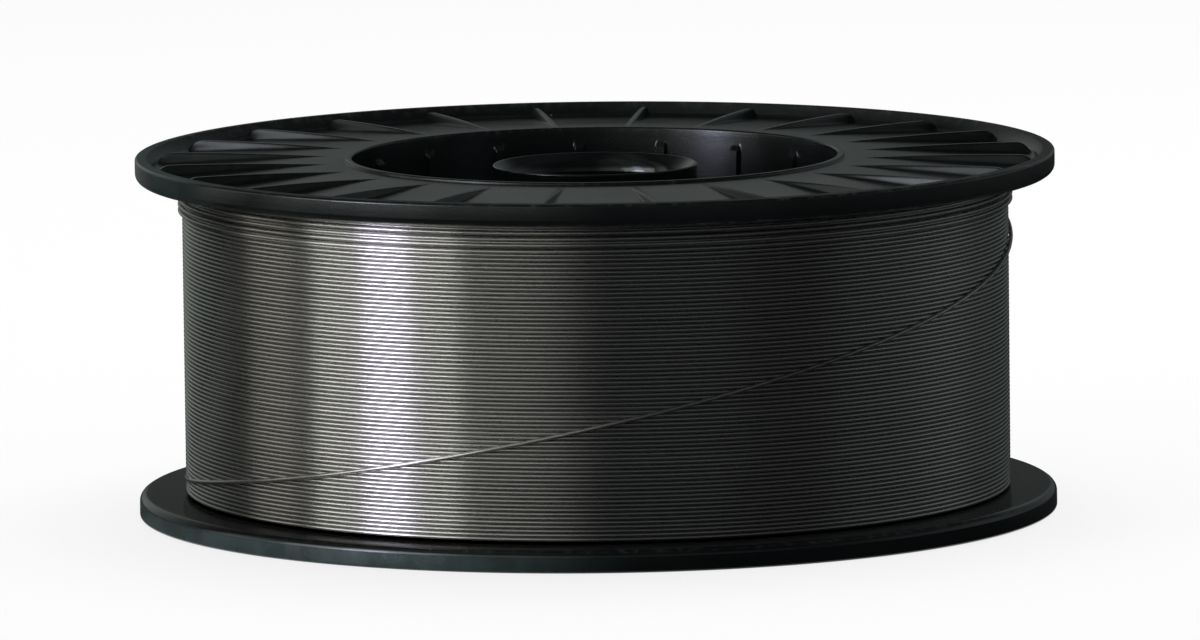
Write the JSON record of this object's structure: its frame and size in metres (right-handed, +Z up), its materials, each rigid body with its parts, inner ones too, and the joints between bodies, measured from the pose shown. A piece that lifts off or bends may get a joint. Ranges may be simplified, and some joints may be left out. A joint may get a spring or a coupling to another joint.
{
  "type": "mig welding wire spool",
  "caption": "Plastic spool with ribbed flanges and an open hub, wound full with solid steel welding wire.",
  "frame": {"origin": "middle of the footprint, on the plane that the lower rim rests on, on the spool's axis", "axes": "+Z up along the spool's axis, -Y towards the front of the picture, +X through the driving hole"},
  "size_m": [0.27, 0.27, 0.106],
  "materials": {
    "spool_plastic": "satin moulded black plastic",
    "steel_wire": "bright drawn steel wire, turns side by side"
  },
  "bodies": {
    "root": {"spool_lower_half": "spool_plastic", "spool_upper_half": "spool_plastic", "wire_coil": "steel_wire", "wire_end": "steel_wire"}
  },
  "joints": []
}
